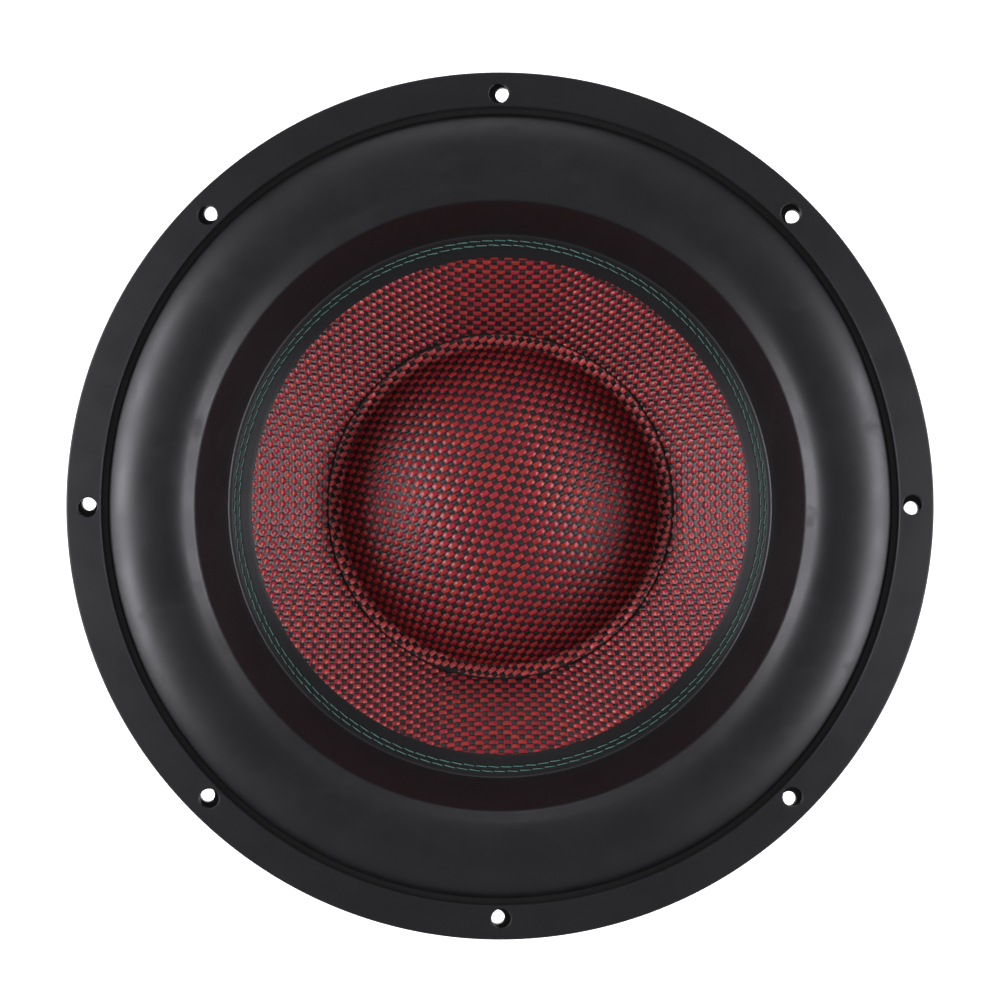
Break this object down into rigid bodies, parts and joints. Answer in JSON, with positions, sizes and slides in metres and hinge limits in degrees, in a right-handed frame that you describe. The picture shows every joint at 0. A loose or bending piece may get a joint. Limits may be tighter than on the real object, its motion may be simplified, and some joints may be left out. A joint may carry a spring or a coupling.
{
  "type": "car subwoofer driver",
  "caption": "Car subwoofer driver: woven cone and dome on a wide rubber roll, cast basket, magnet motor. The cone strokes and the wire terminals push in.",
  "frame": {"origin": "centre of the back plate's rear face, on the driver's centre line, which is the bottom of the part as it stands", "axes": "+Z along the centre line from the motor towards the cone's front, +X towards the right-hand terminal"},
  "size_m": [0.326, 0.326, 0.2059],
  "materials": {
    "ring_satin_black": "satin",
    "basket_coat": "satin",
    "roll_rubber": "satin",
    "thread_green": "satin",
    "woven_red": "gloss",
    "former_foil": "satin",
    "coil_copper": "gloss",
    "spider_cloth": "matte",
    "spacer_plastic": "matte",
    "plate_steel": "satin",
    "ferrite": "matte",
    "shorting_aluminium": "satin",
    "boot_rubber": "matte",
    "screen_steel": "satin",
    "bolt_black": "satin",
    "lead_braid": "satin",
    "terminal_nylon": "satin",
    "terminal_nickel": "polished",
    "button_red": "gloss",
    "button_black": "gloss",
    "spring_steel": "satin"
  },
  "bodies": {
    "frame": {"trim_ring": "ring_satin_black", "basket": "basket_coat", "surround": "roll_rubber", "spider_lower": "spider_cloth", "spider_upper": "spider_cloth", "spider_spacer": "spacer_plastic", "motor_yoke": "plate_steel", "top_plate": "plate_steel", "magnet_lower": "ferrite", "magnet_middle": "ferrite", "magnet_upper": "ferrite", "shorting_ring": "shorting_aluminium", "magnet_boot": "boot_rubber", "pole_vent_screen": "screen_steel", "motor_bolt_1": "bolt_black", "motor_bolt_2": "bolt_black", "motor_bolt_3": "bolt_black", "motor_bolt_4": "bolt_black", "motor_bolt_5": "bolt_black", "motor_bolt_6": "bolt_black", "terminal_screw_right": "bolt_black", "terminal_screw_left": "bolt_black", "tinsel_lead_1": "lead_braid", "tinsel_lead_2": "lead_braid", "tinsel_lead_3": "lead_braid", "tinsel_lead_4": "lead_braid", "terminal_base_right": "terminal_nylon", "terminal_base_left": "terminal_nylon", "terminal_post_right_red": "terminal_nickel", "terminal_post_right_black": "terminal_nickel", "terminal_post_left_red": "terminal_nickel", "terminal_post_left_black": "terminal_nickel", "terminal_spring_right_red": "spring_steel", "terminal_spring_right_black": "spring_steel", "terminal_spring_left_red": "spring_steel", "terminal_spring_left_black": "spring_steel"},
    "cone": {"cone": "woven_red", "dust_cap": "woven_red", "voice_coil_former": "former_foil", "coil_winding_inner": "coil_copper", "coil_winding_outer": "coil_copper", "stitch_row_outer": "thread_green", "stitch_row_inner": "thread_green"},
    "button_right_red": {"terminal_button_right_red": "button_red"},
    "button_right_black": {"terminal_button_right_black": "button_black"},
    "button_left_red": {"terminal_button_left_red": "button_red"},
    "button_left_black": {"terminal_button_left_black": "button_black"}
  },
  "joints": [
    {"name": "cone_stroke", "type": "slide", "parent": "frame", "child": "cone", "axis": [0, 0, 1], "range_m": [-0.018, 0.018], "stiffness_N_per_m": 6000, "deforming": ["surround", "spider_lower", "spider_upper", "tinsel_lead_1", "tinsel_lead_2", "tinsel_lead_3", "tinsel_lead_4"]},
    {"name": "push_right_red", "type": "slide", "parent": "frame", "child": "button_right_red", "axis": [-1, 0, 0], "range_m": [0, 0.0035], "stiffness_N_per_m": 900, "deforming": ["terminal_spring_right_red"]},
    {"name": "push_right_black", "type": "slide", "parent": "frame", "child": "button_right_black", "axis": [-1, 0, 0], "range_m": [0, 0.0035], "stiffness_N_per_m": 900, "deforming": ["terminal_spring_right_black"]},
    {"name": "push_left_red", "type": "slide", "parent": "frame", "child": "button_left_red", "axis": [1, 0, 0], "range_m": [0, 0.0035], "stiffness_N_per_m": 900, "deforming": ["terminal_spring_left_red"]},
    {"name": "push_left_black", "type": "slide", "parent": "frame", "child": "button_left_black", "axis": [1, 0, 0], "range_m": [0, 0.0035], "stiffness_N_per_m": 900, "deforming": ["terminal_spring_left_black"]}
  ]
}
